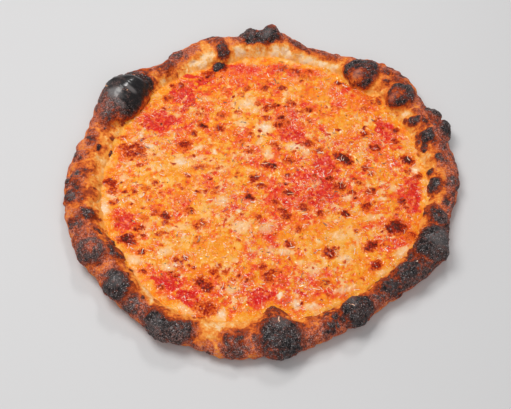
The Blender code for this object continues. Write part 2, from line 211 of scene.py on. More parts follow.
# Painted highlights: grey patches painted where tight charred skin shines, as above.
PAINTED_HIGHLIGHT_SPOTS = (
    (148.5, 0.5, 4.5, 3.5, 1.0), (144.0, -5.0, 3.0, 3.0, 0.8), (150.5, -5.0, 2.0, 3.5, 0.5),
    (51.0, -6.0, 3.0, 3.0, 0.6), (35.0, -6.0, 2.5, 2.5, 0.4), (88.5, 2.0, 4.0, 3.0, 0.5),
    (93.5, 3.0, 2.5, 3.0, 0.4), (187.5, 7.0, 1.2, 3.0, 0.5), (222.5, 4.0, 5.0, 4.0, 0.4),
    (240.0, 9.0, 5.0, 3.5, 0.3), (275.0, -1.0, 6.0, 3.0, 0.35), (299.0, -3.0, 3.5, 4.0, 0.35),
    (334.0, 6.0, 8.0, 5.0, 0.45),
)
# The smooth, tight skin of the largest dome: angle, distance, half length and half width.
TIGHT_SKIN = (143.0, -4.0, 17.0, 15.0)
# How steeply a blister falls off at its border, and how much less its inner side is charred.
BLISTER_FALL = 0.7
INNER_SIDE_SPARED = 0.38
# Small blisters: number, range of half lengths, range of distances from the crown, range of char, and
# rise for each mm of length.
SMALL_BLISTERS = 170
SMALL_LENGTHS = (1.6, 4.2)
SMALL_PLACES = (-15, 17)
SMALL_CHARS = (0.35, 0.9)
SMALL_RISE = 0.28
# The dough's own swells and folds, in mm.
SWELL_HEIGHT = 0.7
FOLD_DEPTH = 1.1
FINE_FOLDS = 0.8
CLEAR_OF_TOPPING = (115.0, 121.0)
# How toasted the inner slope is, and how much more the crown and the outer side.
SLOPE_TOAST = 0.185
CROWN_TOAST = 0.12
OUTER_TOAST = 0.16


def turn(angle, at):
    """Degrees from one angle to another, by the shorter way round."""
    return (angle - at + 180.0) % 360.0 - 180.0


def lobed(mean, lobes, angle):
    """A size that swells and narrows smoothly round the pizza."""
    swell = np.full_like(angle, mean)
    for at, reach, spread in lobes:
        swell += reach * np.exp(-((turn(angle, at) / spread) ** 2))
    return swell


def smooth(value, low, high):
    """0 below low, 1 above high, and a smooth ramp between them."""
    share = np.clip((value - low) / (high - low), 0.0, 1.0)
    return share * share * (3.0 - 2.0 * share)


def real_radius(radius, angle):
    """Carries a radius of a plain round pizza to this uneven one."""
    foot = lobed(MEAN_FOOT, FOOT_LOBES, angle)
    edge = lobed(MEAN_EDGE, EDGE_LOBES, angle)
    over_rim = foot + (radius - FOOT_RADIUS) / (OUTER_RADIUS - FOOT_RADIUS) * (edge - foot)
    return np.where(radius <= FOOT_RADIUS, radius / FOOT_RADIUS * foot, over_rim)


def slope_height(radius):
    """Height of the plain rim's inner slope."""
    share = np.clip((radius - FOOT_RADIUS) / (CROWN_RADIUS - FOOT_RADIUS), 0.0, 1.0)
    return BASE_THICKNESS + (RIM_HEIGHT - BASE_THICKNESS) * np.sin(share * math.pi / 2) ** 1.5


def real_height(radius, height, angle):
    """Carries a height of a plain round pizza to this uneven one."""
    ratio = lobed(RIM_HEIGHT, HEIGHT_LOBES, angle) / RIM_HEIGHT
    return height * (1.0 + (ratio - 1.0) * smooth(radius, FOOT_RADIUS, CROWN_RADIUS - 4.0))


def crust_over_slope(radius, angle):
    """How far the crust's uneven inner slope stands over the plain one."""
    row = np.interp(radius, slope_radii, np.arange(len(slope_radii)))
    low = np.minimum(row.astype(int), len(slope_radii) - 2)
    step = np.rint(angle % 360.0 / 360.0 * CRUST_STEPS).astype(int) % CRUST_STEPS
    share = row - low
    return slope_lift[low, step] * (1.0 - share) + slope_lift[low + 1, step] * share


def lumps(x, y, z, size, seed):
    """Smooth random swelling, about -1 to 1, with lumps of a given size in mm."""
    places = zip((x / size).flat, (y / size).flat, (z / size + seed).flat)
    return np.array([noise.noise(Vector(place)) for place in places]).reshape(x.shape)


def layered(x, y, z, *layers):
    """Random swelling in layers, each with its reach in mm, size of lumps in mm, and seed."""
    return sum(reach * lumps(x, y, z, size, seed) for reach, size, seed in layers)


def dough_section():
    """Radii and heights of the section, from the axis over the crown to the axis below."""
    half = RIM_HEIGHT / 2
    slope = np.linspace(FOOT_RADIUS, CROWN_RADIUS, 28)[:-1]
    outer_top = np.radians(np.linspace(0, 90, 20))
    outer_low = np.radians(np.linspace(0, 90, 12))[1:]
    underside = np.array([130.0, 118.0, 100.0, 80.0, 60.0, 40.0, 20.0, 0.0])
    radii = [0.0, 60.0, 100.0, 112.0, 116.0, *slope]
    heights = [BASE_THICKNESS] * 5 + list(slope_height(slope))
    radii += list(CROWN_RADIUS + (OUTER_RADIUS - CROWN_RADIUS) * np.sin(outer_top))
    heights += list(half + half * np.cos(outer_top))
    radii += list(CONTACT_RADIUS + (OUTER_RADIUS - CONTACT_RADIUS) * np.cos(outer_low))
    heights += list(half - half * np.sin(outer_low))
    return np.array(radii + list(underside)), np.array(heights + [0.0] * len(underside))


radii, heights = dough_section()
lengths = np.hypot(np.diff(radii), np.diff(heights))
over_crown = np.concatenate([[0.0], np.cumsum(lengths)])
over_crown -= over_crown[np.argmax(heights)]
along_radius = np.gradient(radii, over_crown)
along_height = np.gradient(heights, over_crown)
angles = np.arange(CRUST_STEPS) * 360.0 / CRUST_STEPS

angle = np.broadcast_to(angles, (len(radii), CRUST_STEPS))
radius = np.broadcast_to(radii[:, None], angle.shape)
over = np.broadcast_to(over_crown[:, None], angle.shape)
wide = real_radius(radius, angle)
high = real_height(radius, heights[:, None], angle)
turned = np.radians(angle)

# The small blisters lie where the draw puts them, most on the left and right of the rim, and are
# paler on the far inner slope.
draw = np.random.default_rng(7)
small = []
while len(small) < SMALL_BLISTERS:
    at = draw.uniform(0, 360)
    on_left = math.exp(-((turn(at, 185) / 45) ** 2))
    on_right = math.exp(-((turn(at, 5) / 22) ** 2))
    if draw.uniform() < 0.35 + 0.65 * max(on_left, on_right):
        size = draw.uniform(*SMALL_LENGTHS)
        across = draw.uniform(*SMALL_PLACES)
        char = draw.uniform(*SMALL_CHARS) * (0.35 if 50 < at < 120 and across < 2 else 1.0)
        small.append((at, across, size, size * draw.uniform(0.7, 1.1), SMALL_RISE * size, char))

# Every spot on the rim gets an uneven border, by straying along the rim and drifting across it.
x = wide * np.cos(turned)
y = wide * np.sin(turned)
stray = layered(x, y, high, (2.4, 8.0, 20.0), (0.9, 3.0, 24.0))
drift = layered(x, y, high, (2.4, 8.0, 30.0), (0.9, 3.0, 34.0))


def reach_from(at, across, half_length, half_width):
    """How far each point of the crust lies from a spot on it, 1 being the spot's uneven border."""
    along = np.radians(turn(angle, at)) * wide + stray
    return np.hypot(along / half_length, (over - across + drift) / half_width)


swelling = np.zeros(angle.shape)
charring = np.zeros(angle.shape)
embers = np.zeros(angle.shape)
flat_marks = [(*spot, 0.0, char) for *spot, char in SCORCH_MARKS]
for at, across, half_length, half_width, rise, char in (*RIM_BLISTERS, *small, *flat_marks):
    away = reach_from(at, across, half_length, half_width)
    swelling += (rise * np.clip(1.0 - away**2, 0.0, 1.0) ** BLISTER_FALL) ** 4
    inner_side = smooth((across - over) / half_width, 0.2, 1.0)
    spared = 1.0 - INNER_SIDE_SPARED * inner_side
    charring = np.maximum(charring, char * spared * smooth(-away, -1.30, -0.62))
    halo = reach_from(at, across - 2.5, half_length + 3.5, half_width + 5.0)
    embers = np.maximum(embers, char * smooth(-halo, -1.3, -0.7))
swelling = swelling**0.25
for *spot, missing in BROWNER_SPOTS:
    charring -= charring * missing * smooth(-reach_from(*spot), -1.2, -0.3)
gloss = smooth(-reach_from(*TIGHT_SKIN), -1.1, -0.7)
# Painted highlights: grey patches on the charred domes, where their skin would reflect the lamps.
sheen = np.zeros(angle.shape)
for *spot, strength in PAINTED_HIGHLIGHT_SPOTS:
    sheen = np.maximum(sheen, strength * smooth(-reach_from(*spot), -1.5, -0.6))

folds = np.abs(lumps(x, y, high, 13.0, 60.0))
folds = FOLD_DEPTH * (smooth(folds, 0.0, 0.3) - 1.0) + FINE_FOLDS * lumps(x, y, high, 6.0, 64.0)
lift = swelling + SWELL_HEIGHT * lumps(x, y, high, 11.0, 0.0)
lift += folds * np.clip(1.0 - swelling / 3.0, 0.15, 1.0)
lift *= smooth(radius, *CLEAR_OF_TOPPING) * smooth(high, 0.0, 5.0)
crown = int(np.argmax(heights))
slope_radii = radii[:crown]
slope_lift = (lift / np.maximum(along_radius, 0.6)[:, None])[:crown]
x = x + lift * -along_height[:, None] * np.cos(turned)
y = y + lift * -along_height[:, None] * np.sin(turned)
z = high + lift * along_radius[:, None]

dust = np.zeros(angle.shape)
for *spot, strength in DUSTY_SPOTS:
    dust = np.maximum(dust, strength * np.exp(-(reach_from(*spot) ** 2)))

# Toasting: pale on the inner slope, browner over the crown and outside.
toast = SLOPE_TOAST + CROWN_TOAST * smooth(over, -10.0, 5.0) + OUTER_TOAST * smooth(over, 3.0, 15.0)
for *spot, change in TOAST_PATCHES:
    toast += change * np.exp(-(reach_from(*spot) ** 2))


def closed_mesh(name, points, faces, marks):
    """A smooth mesh from points in mm and faces, with the marks' values held at its points."""
    mesh = bpy.data.meshes.new(name)
    mesh.from_pydata((points * MM).tolist(), [], [tuple(int(i) for i in face) for face in faces])
    for label, values in marks.items():
        held = mesh.attributes.new(label, "FLOAT", "POINT")
        held.data.foreach_set("value", values.astype(np.float32))
    mesh.shade_smooth()
    return mesh


def ring_mesh(name, x, y, z, marks):
    """A closed mesh from rings of points between two poles, with its point attributes."""
    rings, steps = x.shape[0] - 2, x.shape[1]
    points = np.stack([x[1:-1].ravel(), y[1:-1].ravel(), z[1:-1].ravel()], 1)
    poles = np.array([[0.0, 0.0, z[0, 0]], [0.0, 0.0, z[-1, 0]]])
    first = np.arange(steps)
    after = (first + 1) % steps
    ring = np.arange(rings - 1)[:, None] * steps
    corners = (ring + first, ring + steps + first, ring + steps + after, ring + after)
    faces = np.stack(corners, 2).reshape(-1, 4).tolist()
    top, bottom = rings * steps, rings * steps + 1
    last = (rings - 1) * steps
    faces += [(top, a, b) for a, b in zip(first, after)]
    faces += [(bottom, last + b, last + a) for a, b in zip(first, after)]
    held = {}
    for label, values in marks.items():
        held[label] = np.concatenate([values[1:-1].ravel(), [values[0, 0], values[-1, 0]]])
    return closed_mesh(name, np.vstack([points, poles]), faces, held)


class Wire:
    """An output of a node. Sums and products of wires add Math nodes; add() puts in any other node."""

    def __init__(self, tree, socket=None):
        self.tree = tree
        self.socket = socket

    def add(self, kind, settings, feeds, out=None):
        """Adds a node with its settings, then its inputs by name or number, and returns an output."""
        node = self.tree.nodes.new(kind)
        for name, value in settings.items():
            if name == "stops":
                stops = node.color_ramp.elements
                while len(stops) < len(value):
                    stops.new(0.5)
                for stop, (place, colour) in zip(stops, value):
                    stop.position = place
                    stop.color = (*colour, 1.0)
            else:
                setattr(node, name, value)
        for name, value in feeds.items():
            if isinstance(name, int):
                socket = node.inputs[name]
            else:
                socket = next(s for s in node.inputs if s.enabled and s.name == name)
            if isinstance(value, Wire):
                self.tree.links.new(value.socket, socket)
            else:
                socket.default_value = value
        shown = [s for s in node.outputs if s.enabled]
        if out:
            shown = [s for s in shown if s.name == out]
        return Wire(self.tree, shown[0] if shown else None)

    def maths(self, operation, *values):
        return self.add("ShaderNodeMath", {"operation": operation}, dict(enumerate(values)))

    def __add__(self, other):
        return self.maths("ADD", self, other)

    def __sub__(self, other):
        return self.maths("SUBTRACT", self, other)

    def __rsub__(self, other):
        return self.maths("SUBTRACT", other, self)

    def __mul__(self, other):
        return self.maths("MULTIPLY", self, other)

    def __rtruediv__(self, other):
        return self.maths("DIVIDE", other, self)

    __radd__ = __add__
    __rmul__ = __mul__

    def vector(self, operation, *others):
        """Adds a Vector Math node that starts from this wire."""
        feeds = dict(enumerate((self, *others)))
        return self.add("ShaderNodeVectorMath", {"operation": operation}, feeds)

    def scaled(self, factor):
        return self.add("ShaderNodeVectorMath", {"operation": "SCALE"}, {0: self, "Scale": factor})

    def between(self, low, high):
        """0 below low, 1 above high, and a smooth ramp between them."""
        return self.add(
            "ShaderNodeMapRange",
            {"interpolation_type": "SMOOTHSTEP"},
            {"Value": self, "From Min": low, "From Max": high},
        )

    def grain(self, size, detail=2.0, roughness=0.5, seed=0.0):
        """Noise with lumps of a given size in mm; this wire carries the place, in mm."""
        place = self.vector("ADD", (seed, seed, seed))
        feeds = {"Vector": place, "Scale": 1.0 / size, "Detail": detail, "Roughness": roughness}
        return self.add("ShaderNodeTexNoise", {}, feeds, "Fac")

    def stir(self, reach, *noise_settings):
        """The same noise, about zero and with a given reach."""
        return (self.grain(*noise_settings) - 0.5) * reach

    def blend(self, first, second):
        """Goes from the first colour to the second as this wire goes from 0 to 1."""
        feeds = {"Factor": self, "A": first, "B": second}
        return self.add("ShaderNodeMix", {"data_type": "RGBA", "clamp_factor": True}, feeds)

    def pick(self, stops):
        """Picks a colour from a row of them, each at its own value of this wire."""
        return self.add("ShaderNodeValToRGB", {"stops": stops}, {"Fac": self})


def colour(red, green, blue):
    """An opaque colour, in the form that a node's socket takes."""
    return (red, green, blue, 1.0)


def new_finish(name):
    """An empty material, with a wire that carries the place on the pizza in mm."""
    material = bpy.data.materials.new(name)
    material.use_nodes = True
    material.node_tree.nodes.clear()
    start = Wire(material.node_tree)
    return material, start.add("ShaderNodeTexCoord", {}, {}, "Object").scaled(1.0 / MM)


def mark(wire, name):
    """The value of a named attribute of the mesh, in a material."""
    return wire.add("ShaderNodeAttribute", {"attribute_name": name}, {}, "Fac")


def bumps(height, strength, distance):
    """Small relief that is only seen: its height as a wire, and its depth in metres."""
    feeds = {"Strength": strength, "Distance": distance, "Height": height}
    return height.add("ShaderNodeBump", {}, feeds)


def close_finish(place, feeds):
    """Ends a material in a shader with these values."""
    shader = place.add("ShaderNodeBsdfPrincipled", {}, feeds)
    place.add("ShaderNodeOutputMaterial", {}, {"Surface": shader})


def growth_tree(name, sizes):
    """A tree of Geometry Nodes with named inputs, and a wire for each of them."""
    tree = bpy.data.node_groups.new(name, "GeometryNodeTree")
    tree.interface.new_socket("Geometry", in_out="OUTPUT", socket_type="NodeSocketGeometry")
    tree.interface.new_socket("Geometry", in_out="INPUT", socket_type="NodeSocketGeometry")
    for label, value in sizes.items():
        if isinstance(value, bpy.types.Material):
            kind = "NodeSocketMaterial"
        elif isinstance(value, bpy.types.Object):
            kind = "NodeSocketObject"
        else:
            kind = "NodeSocketInt" if isinstance(value, int) else "NodeSocketFloat"
        tree.interface.new_socket(label, in_out="INPUT", socket_type=kind)
    given = tree.nodes.new("NodeGroupInput")
    return tree, {socket.name: Wire(tree, socket) for socket in given.outputs if socket.name}


def held_value(wire, name):
    """The value of a named attribute of the mesh, in a tree of Geometry Nodes."""
    feeds = {"Name": name}
    return wire.add("GeometryNodeInputNamedAttribute", {"data_type": "FLOAT"}, feeds, "Attribute")


def store_value(body, name, value, domain):
    """Writes a value to a named attribute of the mesh, in a tree of Geometry Nodes."""
    return body.add(
        "GeometryNodeStoreNamedAttribute",
        {"data_type": "FLOAT", "domain": domain},
        {"Geometry": body, "Name": name, "Value": value},
    )


def close_tree(body, given):
    """Ends a tree in plain geometry with its finish."""
    body = body.add("GeometryNodeRealizeInstances", {}, {"Geometry": body})
    body = body.add("GeometryNodeSetMaterial", {}, {"Geometry": body, "Material": given["Finish"]})
    body.add("NodeGroupOutput", {}, {"Geometry": body})


def grown(name, mesh, tree, sizes):
    """Runs a tree on a mesh with these sizes, and returns the piece as a plain mesh object."""
    piece = put_in_scene(name, mesh)
    growth = piece.modifiers.new("growth", "NODES")
    growth.node_group = tree
    for socket in tree.interface.items_tree:
        if socket.in_out == "INPUT" and socket.name in sizes:
            growth[socket.identifier] = sizes[socket.name]
    bpy.context.view_layer.update()
    graph = bpy.context.evaluated_depsgraph_get()
    done = bpy.data.meshes.new_from_object(
        piece.evaluated_get(graph), preserve_all_data_layers=True, depsgraph=graph
    )
    piece.modifiers.clear()
    piece.data = done
    return piece


# The finish of the crust: one tone runs from cream over orange-brown to char, and picks the colour.
# Streaks run up the inner slope, where the dough has stretched.
CRUST_TONES = (
    (0.0, (0.97, 0.68, 0.42)),
    (0.12, (0.95, 0.57, 0.23)),
    (0.27, (0.92, 0.36, 0.065)),
    (0.42, (0.84, 0.22, 0.030)),
    (0.54, (0.64, 0.120, 0.020)),
    (0.64, (0.38, 0.056, 0.016)),
    (0.74, (0.18, 0.028, 0.012)),
    (0.83, (0.080, 0.030, 0.024)),
    (0.92, (0.020, 0.014, 0.014)),
    (1.0, (0.006, 0.005, 0.006)),
)
GOLDEN_FOOT = colour(0.95, 0.37, 0.055)
FLOUR_DUST = colour(0.66, 0.31, 0.24)
DUST_ON_CHAR = colour(0.36, 0.20, 0.175)
# Grey of ash on the char, which also serves as painted sheen.
ASH_AND_PAINTED_SHEEN = colour(0.16, 0.145, 0.15)
# Pale grey of the painted glints on the char.
PAINTED_GLINT = colour(0.50, 0.46, 0.46)
# Grey of the painted highlights on the char.
PAINTED_GREY_HIGHLIGHT = colour(0.22, 0.205, 0.205)

baked_dough, place = new_finish("baked_dough")
char = mark(place, "char")
distance = mark(place, "over")
browning = mark(place, "toast")
flour = mark(place, "dust")
tight = mark(place, "gloss")
outward = place.vector("MULTIPLY", (1.0, 1.0, 0.0)).vector("NORMALIZE").scaled(140.0)
lengthwise = place.add("ShaderNodeCombineXYZ", {}, {"Z": distance * 0.55})
streaks = outward.vector("ADD", lengthwise).stir(0.95, 5.5, 4.0, 0.65)
streaks = streaks * (1.0 - distance.between(-8.0, 4.0))
mottle = place.stir(0.95, 7.0, 4.0, 0.62) + place.stir(0.7, 2.0, 4.0, 0.65, 11.0)
toasting = browning + mottle + streaks + mark(place, "embers").between(0.2, 1.0) * 0.28
freckles = place.grain(1.5, 2.0, 0.6, 31.0).between(0.60, 0.70) * browning.between(0.3, 0.5)
toasting = toasting + freckles * 0.2
ragged = place.stir(0.9, 4.5, 4.0, 0.65, 5.0) + place.stir(0.7, 1.2, 3.0, 0.6, 15.0)
burning = (char + ragged).between(0.10, 0.80) * char.between(0.02, 0.2)
burnt = char * 0.64 + 0.31 + tight * 0.13 + place.stir(1.0, 3.0, 4.0, 0.7, 45.0)
tone = toasting + (burnt - toasting) * burning

# What has soaked into the dough or lies on it: oil at its foot, flour and ash. On the char the ash is
# partly painted sheen, and the pale glints and grey patches are painted highlights.
soaked = distance + place.stir(26.0, 8.0, 4.0, 0.65, 63.0)
soaked = (1.0 - soaked.between(-17.0, -9.0)) * (1.0 - tone.between(0.3, 0.6))
cover = place.grain(9.0, 3.0, 0.6, 57.0) - 0.1 + distance * 0.010 + flour * 0.24
dusted = place.grain(0.9, 3.0, 0.65, 51.0).between(0.47, 0.60) * cover.between(0.40, 0.60)
dusty = dusted * tone.between(0.30, 0.46) * (1.0 - tone.between(0.68, 0.80))
powdery = dusted * tone.between(0.68, 0.80)
matt = 1.0 - tight * 0.9
# Grey patches on the char: partly ash, partly painted sheen that stands in for a broad reflection.
ash_and_painted_sheen = place.grain(4.0, 5.0, 0.75, 21.0).between(0.46, 0.64) * tone.between(0.76, 0.88) * matt
# Painted glints: tiny pale specks on the char, standing in for highlights.
painted_glints = place.grain(0.9, 2.0, 0.6, 91.0).between(0.62, 0.66) * tone.between(0.66, 0.78)
crust_colour = tone.pick(CRUST_TONES)
for amount, shade in (
    (soaked * 0.85, GOLDEN_FOOT),
    (dusty * 0.72, FLOUR_DUST),
    (powdery * (flour * 0.65 + 0.25), DUST_ON_CHAR),
    (ash_and_painted_sheen * 0.32, ASH_AND_PAINTED_SHEEN),
    (painted_glints * matt * 0.75, PAINTED_GLINT),
    (mark(place, "sheen") * 0.65, PAINTED_GREY_HIGHLIGHT),
):
    crust_colour = amount.blend(crust_colour, shade)

pores = place.grain(0.8, 3.0, 0.65, 3.0) + place.grain(2.6, 3.0, 0.6, 8.0) * 1.4
pores = pores * (1.0 - tight * 0.85)
glazed = place.grain(3.0, 3.0, 0.6, 71.0).between(0.46, 0.66) * (0.42 - tight * 0.37)
dough_values = {
    "Base Color": crust_colour,
    "Specular IOR Level": 0.10,
    "Roughness": 0.6 - tone.between(0.7, 1.0) * 0.15,
    "Coat Weight": tone.between(0.72, 0.9) * (tight * 0.66 + glazed),
    "Coat Roughness": 0.21,
    "Coat IOR": 1.6,
    "Normal": bumps(pores, 0.9, 0.0008),
}
close_finish(place, dough_values)

# The skin of the dough: fine lumps all over the rim, and a crackled, wrinkled surface on the char.
skin_sizes = {"Lump size": 4.0, "Lump height": 1.1, "Crackle size": 2.0, "Crackle height": 1.6}
skin_inputs = {**skin_sizes, "Finish": baked_dough}
skin, given = growth_tree("dough_skin", skin_inputs)
start = given["Geometry"]
spot = start.add("GeometryNodeInputPosition", {}, {}).scaled(1.0 / MM)
rise = spot.stir(given["Lump height"], given["Lump size"], 3.0)
crackle = spot.stir(given["Crackle height"], given["Crackle size"], 2.0)
rise = (rise + crackle * held_value(start, "crackled")) * held_value(start, "loose") * MM
offset = start.add("GeometryNodeInputNormal", {}, {}).scaled(rise)
body = start.add("GeometryNodeSetPosition", {}, {"Geometry": start, "Offset": offset})
close_tree(body, given)

crust_marks = {
    "char": charring,
    "crackled": charring * (1.0 - 0.8 * gloss),
    "gloss": gloss,
    "sheen": sheen,
    "embers": embers,
    "toast": toast,
    "dust": dust,
    "over": over,
    "loose": smooth(radius, 117.0, 121.0) * smooth(z, 0.0, 4.0) * (1.0 - 0.75 * gloss),
    "strewn": 0.03 * smooth(z, 8.0, 12.0),
}
crust = grown("crust_rim", ring_mesh("crust_rim", x, y, z, crust_marks), skin, skin_inputs)
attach(crust, "root")
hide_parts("crust")

# ------------------------------------------------------------------------------------ tomato sauce
# A thin spread of crushed tomato on the flat base. It shows in patches where the melting cheese has
# pulled apart: there it stands up, wet and bright red, with soft lumps of pulp.

GAP = 0.35
SAUCE_THICKNESS = 1.2
CHEESE_THICKNESS = 1.8
SAUCE_LOW = BASE_THICKNESS + GAP
SAUCE_TOP = SAUCE_LOW + SAUCE_THICKNESS
CHEESE_LOW = SAUCE_TOP + GAP
SAUCE_STEPS = 240
SAUCE_EDGE = 0.3
NEARLY_ZERO = 1e-12

# Where the sauce shows: angle, radius, half length round the pizza, half width along the radius.
SAUCE_WINDOWS = (
    (355.5, 117, 12, 3.5), (26.5, 110, 7, 5), (116, 111, 6, 3), (127.5, 109.5, 8.5, 5),
    (129.5, 97, 6, 3.5), (147.5, 107, 8, 5), (143, 95, 5, 3.5), (200, 113, 7, 5.5),
    (232, 113, 7.5, 5), (243, 118, 8, 4), (268.5, 102, 8, 4), (348.5, 47.5, 10, 6), (17, 51, 9, 7),
    (60, 48.5, 10, 5),
)


def round_grid(steps, reach):
    """An even square grid bent to a disc: nominal radius and angle, and real place, of each point."""
    line = np.linspace(-1.0, 1.0, steps + 1)
    across, down = np.meshgrid(line, line)
    wider = np.abs(across) > np.abs(down)
    radius = np.where(wider, across, down)
    other = np.where(wider, down, across)
    ratio = other / np.where(np.abs(radius) > NEARLY_ZERO, radius, 1.0)
    turned = np.where(wider, ratio * math.pi / 4, math.pi / 2 - ratio * math.pi / 4)
    x, y = radius * np.cos(turned), radius * np.sin(turned)
    radius, angle = np.hypot(x, y) * reach, np.degrees(np.arctan2(y, x))
    wide = real_radius(radius, angle)
    return radius, angle, wide * np.cos(np.radians(angle)), wide * np.sin(np.radians(angle))


def sheet_mesh(name, x, y, z, low, marks):
    """A closed sheet: an uneven top over a flat bottom, from a square grid of points."""
    points = np.stack([x.ravel(), y.ravel(), z.ravel()], 1)
    index = np.arange(x.size).reshape(x.shape)
    corners = (index[:-1, :-1], index[:-1, 1:], index[1:, 1:], index[1:, :-1])
    faces = np.stack(corners, 2).reshape(-1, 4).tolist()
    border = [*index[0, :-1], *index[:-1, -1], *index[-1, :0:-1], *index[:0:-1, 0]]
    under = points[border].copy()
    under[:, 2] = low
    first = len(points)
    count = len(border)
    middle = first + count
    pairs = [(i, (i + 1) % count) for i in range(count)]
    faces += [(border[i], first + i, first + j, border[j]) for i, j in pairs]
    faces += [(middle, first + j, first + i) for i, j in pairs]
    held = {}
    for label, values in marks.items():
        held[label] = np.concatenate([values.ravel(), values.ravel()[border], [0.0]])
    return closed_mesh(name, np.vstack([points, under, [[0.0, 0.0, low]]]), faces, held)


def into_window(x, y):
    """How far a point is into the nearest patch of sauce: 0 in its middle, -1 on its torn edge."""
    torn = layered(x, y, np.zeros_like(x), (0.9, 5.0, 40.0), (0.8, 2.0, 50.0))
    share = np.full_like(x, -9.0)
    for at, radius, half_length, half_width in SAUCE_WINDOWS:
        a = math.radians(at)
        out = x * math.cos(a) + y * math.sin(a) - radius
        along = -x * math.sin(a) + y * math.cos(a)
        away = np.sqrt((along / half_length) ** 2 + (out / half_width) ** 2) + torn
        share = np.maximum(share, -away)
    return share


def cheese_level(x, y):
    """Height of the melted sheet, which swells and sags a little."""
    broad = lumps(x, y, np.zeros_like(x), 24.0, 3.7)
    fine = lumps(x, y, np.zeros_like(x), 9.0, 8.1)
    return CHEESE_LOW + CHEESE_THICKNESS + 0.5 * broad + 0.35 * fine


tomato, place = new_finish("tomato_sauce")
pulp = place.grain(2.4, 3.0, 0.6)
red = pulp.between(0.35, 0.65).blend(colour(0.58, 0.010, 0.006), colour(0.76, 0.032, 0.010))
red = place.grain(3.0, 3.0, 0.6, 9.0).between(0.50, 0.60).blend(red, colour(0.86, 0.14, 0.020))
red = place.grain(1.1, 2.0, 0.6, 19.0).between(0.66, 0.71).blend(red, colour(0.92, 0.55, 0.40))
sauce_values = {
    "Base Color": red,
    "Specular IOR Level": 0.12,
    "Roughness": 0.4,
    "Coat Weight": place.grain(0.9, 2.0, 0.5, 4.0).between(0.5, 0.6),
    "Coat Roughness": 0.08,
    "Normal": bumps(place.grain(1.2, 3.0, 0.6), 0.8, 0.001),
}
close_finish(place, sauce_values)

radius, angle, x, y = round_grid(SAUCE_STEPS, FOOT_RADIUS - 1.0)
bare = smooth(into_window(x, y), -1.1, -0.8)
sauce_top = SAUCE_TOP + (cheese_level(x, y) - 0.1 - SAUCE_TOP) * smooth(bare, 0.0, 0.5)
sauce_top += layered(x, y, sauce_top, (0.5, 4.0, 60.0), (0.4, 2.2, 66.0)) * bare
sauce_top = np.where(radius > FOOT_RADIUS - 2.0, SAUCE_LOW + SAUCE_EDGE, sauce_top)
sauce_mesh = sheet_mesh("sauce_spread", x, y, sauce_top, SAUCE_LOW, {})
sauce_mesh.materials.append(tomato)
sauce = put_in_scene("sauce_spread", sauce_mesh)
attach(sauce, "root")
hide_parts("tomato_sauce")

# ---------------------------------------------------------------------------------- melted cheese
# Shredded cheese, melted to one thin uneven sheet. Oil and sauce tint it from cream over orange to
# red, bubbles have risen in it and scorched, and its thin edge runs out on the foot of the rim.

# Broad changes of tint: x, y, half width, half height in mm, and change towards red (positive) or
# cream.
TINTS = (
    (60, -60, 34, 22, -0.20), (-42, -66, 30, 18, -0.16), (-72, 4, 44, 20, -0.16),
    (-14, 76, 13, 11, -0.20), (-16, 56, 8, 6, -0.18), (2, 50, 9, 7, -0.22), (24, 33, 11, 5, -0.22),
    (60, 58, 18, 10, -0.12), (45, 85, 22, 10, -0.08), (60, -53, 8, 7, -0.14),
    (-66, 17, 9, 6, -0.14), (-49, 18, 9, 5, -0.12), (35, -80, 9, 6, -0.12),
    (-88, -18, 18, 14, -0.12), (3, 25, 7, 6, -0.12), (40, 8, 34, 24, 0.16), (22, 56, 22, 14, 0.20),
    (50, -18, 30, 14, 0.12), (18, -26, 24, 12, 0.10), (-12, 112, 32, 7, 0.20),
    (-60, 93, 17, 13, 0.22), (-86, 55, 14, 9, 0.22), (-25, -20, 20, 12, 0.06),
    (-62, -97, 20, 10, 0.20), (0, -100, 22, 9, 0.18), (102, 46, 12, 12, 0.22),
    (113, -8, 12, 24, 0.24), (104, -58, 8, 9, 0.16), (-108, -40, 9, 9, 0.20),
    (78, 76, 15, 12, 0.12), (8, -84, 16, 12, 0.08), (-62, 34, 9, 6, 0.12), (75, 25, 18, 22, 0.08),
    (70, 88, 20, 9, 0.12), (35, 107, 18, 6, 0.14), (0, 112, 18, 5, 0.12), (-25, -120, 16, 6, 0.18),
    (0, -114, 10, 8, 0.14), (40, -114, 22, 6, 0.14), (112, -52, 10, 10, 0.10),
    (121, -25, 6, 14, 0.14),
)
# Where fresh white cheese has turned milky: x, y, half width, half height, strength.
MILKY = (
    (-92, 33, 16, 16, 0.8), (-30, -20, 20, 12, 0.7), (-60, 70, 14, 10, 0.6), (2, -44, 9, 8, 0.7),
    (20, 58, 14, 9, 0.8), (45, -4, 20, 16, 0.6), (35, 20, 18, 14, 0.5), (-20, -98, 14, 8, 0.7),
    (-65, -78, 6, 6, 0.7), (30, -95, 12, 10, 0.5), (85, 35, 12, 14, 0.5), (55, 35, 12, 8, 0.6),
)
